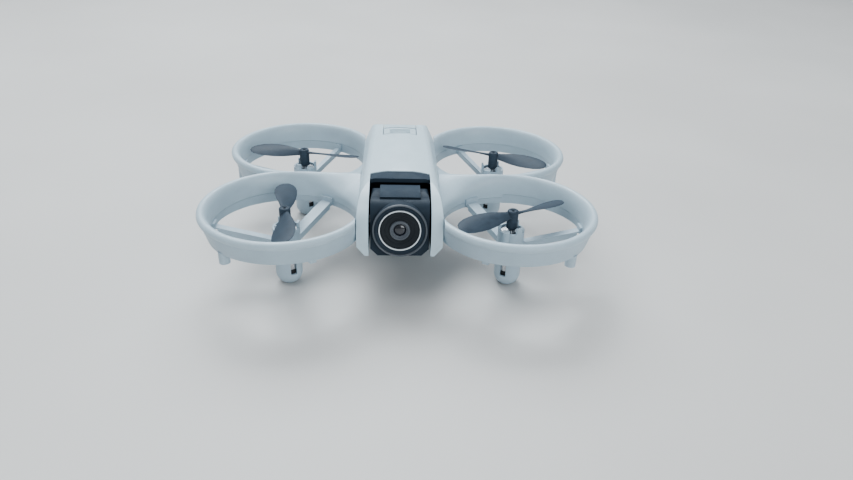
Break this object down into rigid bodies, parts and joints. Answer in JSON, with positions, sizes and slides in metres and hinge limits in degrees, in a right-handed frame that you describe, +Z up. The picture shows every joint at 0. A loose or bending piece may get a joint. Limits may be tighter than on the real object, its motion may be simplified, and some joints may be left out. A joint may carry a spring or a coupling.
{
  "type": "ducted camera drone",
  "caption": "Small four-rotor camera drone with shrouded propellers, a domed fuselage and a tilting nose camera, standing on its motor pods.",
  "frame": {"origin": "on the ground, midway between the motor pods, under the centre of the footprint", "axes": "+X to the drone's right-hand side, -Y towards the nose and its camera, +Z up"},
  "size_m": [0.15, 0.1228, 0.0425],
  "materials": {
    "canopy_plastic": "satin",
    "shroud_plastic": "satin",
    "frame_plastic": "satin",
    "pack_plastic": "satin",
    "camera_plastic": "satin",
    "hood_plastic": "satin",
    "chassis_plastic": "matte",
    "screw_steel": "brushed",
    "can_metal": "brushed",
    "end_cap_plastic": "matte",
    "propeller_plastic": "semi-gloss",
    "lead_red": "satin",
    "lead_black": "satin",
    "circuit_board": "satin",
    "antenna_film": "glossy",
    "diffuser_plastic": "frosted",
    "lens_glass": "glossy",
    "lens_black": "glossy",
    "lens_grey": "satin",
    "accent_white": "satin",
    "port_metal": "satin",
    "button_plastic": "satin",
    "cell_foil": "satin"
  },
  "bodies": {
    "airframe": {"canopy": "canopy_plastic", "left_duct_shroud": "shroud_plastic", "right_duct_shroud": "shroud_plastic", "lower_frame": "frame_plastic", "belly_cover": "frame_plastic", "bay_hood": "hood_plastic", "camera_yoke": "chassis_plastic", "battery_shelf": "chassis_plastic", "battery_socket": "chassis_plastic", "motor_plugs": "chassis_plastic", "belly_screws": "screw_steel", "duct_screws": "screw_steel", "board_screws": "screw_steel", "shield_can": "can_metal", "motor_can_fl": "can_metal", "motor_can_fr": "can_metal", "motor_can_rl": "can_metal", "motor_can_rr": "can_metal", "motor_end_cap_fl": "end_cap_plastic", "motor_end_cap_fr": "end_cap_plastic", "motor_end_cap_rl": "end_cap_plastic", "motor_end_cap_rr": "end_cap_plastic", "motor_leads_positive": "lead_red", "motor_leads_negative": "lead_black", "flight_controller": "circuit_board", "wireless_antenna": "antenna_film", "camera_ribbon": "antenna_film", "light_pipe": "diffuser_plastic", "status_light": "diffuser_plastic", "flow_sensor_lens": "lens_glass", "flow_sensor": "lens_black"},
    "prop_fl": {"motor_shaft_fl": "screw_steel", "propeller_fl": "propeller_plastic"},
    "prop_fr": {"motor_shaft_fr": "screw_steel", "propeller_fr": "propeller_plastic"},
    "prop_rl": {"motor_shaft_rl": "screw_steel", "propeller_rl": "propeller_plastic"},
    "prop_rr": {"motor_shaft_rr": "screw_steel", "propeller_rr": "propeller_plastic"},
    "camera": {"camera_front_shell": "camera_plastic", "camera_rear_shell": "camera_plastic", "camera_top_pad": "hood_plastic", "camera_bezel": "camera_plastic", "camera_accent_ring": "accent_white", "lens_surround": "lens_black", "lens_barrel": "lens_grey", "front_lens_element": "lens_glass", "image_sensor_board": "circuit_board", "camera_pivot_pins": "screw_steel", "pivot_washers": "accent_white"},
    "battery": {"battery_case": "pack_plastic", "battery_cell": "cell_foil", "battery_contacts": "port_metal", "protection_board": "circuit_board", "battery_tail_cap": "pack_plastic", "charge_port": "port_metal", "charge_light": "diffuser_plastic"},
    "button": {"power_button": "button_plastic"},
    "latch": {"battery_latch": "pack_plastic"}
  },
  "joints": [
    {"name": "prop_fl_spin", "type": "hinge", "parent": "airframe", "child": "prop_fl", "pos_m": [-0.0433, -0.0297, 0.028], "axis": [0, 0, 1], "continuous": true},
    {"name": "prop_fr_spin", "type": "hinge", "parent": "airframe", "child": "prop_fr", "pos_m": [0.0433, -0.0297, 0.028], "axis": [0, 0, 1], "continuous": true},
    {"name": "prop_rl_spin", "type": "hinge", "parent": "airframe", "child": "prop_rl", "pos_m": [-0.0433, 0.0297, 0.028], "axis": [0, 0, 1], "continuous": true},
    {"name": "prop_rr_spin", "type": "hinge", "parent": "airframe", "child": "prop_rr", "pos_m": [0.0433, 0.0297, 0.028], "axis": [0, 0, 1], "continuous": true},
    {"name": "camera_tilt", "type": "hinge", "parent": "airframe", "child": "camera", "pos_m": [0, -0.029, 0.0275], "axis": [1, 0, 0], "range_deg": [-25, 60]},
    {"name": "battery_slide", "type": "slide", "parent": "airframe", "child": "battery", "axis": [0, 1, 0], "range_m": [0, 0.045]},
    {"name": "power_button_press", "type": "slide", "parent": "battery", "child": "button", "axis": [0, -1, 0], "range_m": [0, 0.0004], "stiffness_N_per_m": 400, "springref_m": -0.0001},
    {"name": "latch_press", "type": "slide", "parent": "battery", "child": "latch", "axis": [0, 0, -1], "range_m": [0, 0.0006], "stiffness_N_per_m": 400, "springref_m": -0.0001}
  ]
}
